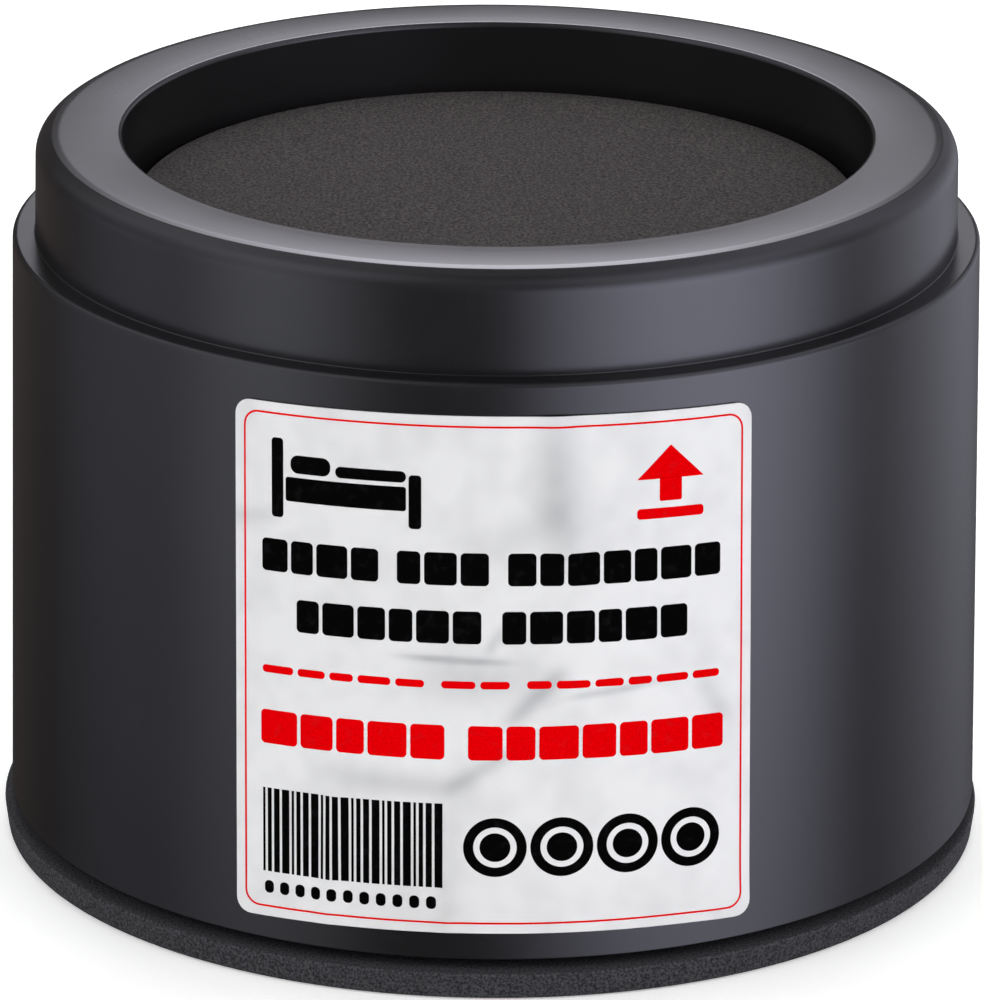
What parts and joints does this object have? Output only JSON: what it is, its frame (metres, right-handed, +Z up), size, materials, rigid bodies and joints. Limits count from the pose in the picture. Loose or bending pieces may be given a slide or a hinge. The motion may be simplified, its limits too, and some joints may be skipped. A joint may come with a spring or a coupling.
{
  "type": "bed riser",
  "caption": "Round tapered plastic riser that lifts a furniture leg: a foam-lined socket on top, a foam base pad below and a plain label on the front.",
  "frame": {"origin": "on the riser's axis at floor level, the centre of the base pad's underside", "axes": "+Z up along the riser's axis, -Y towards the label"},
  "size_m": [0.1152, 0.1152, 0.084],
  "materials": {
    "body_plastic": "satin black moulded plastic",
    "seat_foam": "fine-grained closed-cell foam, warm grey",
    "base_foam": "grainy closed-cell foam, dark grey",
    "label_paper": "smooth white label stock with plain printed fields"
  },
  "bodies": {
    "root": {"riser_body": "body_plastic", "seat_pad": "seat_foam", "base_pad": "base_foam", "label": "label_paper"}
  },
  "joints": []
}
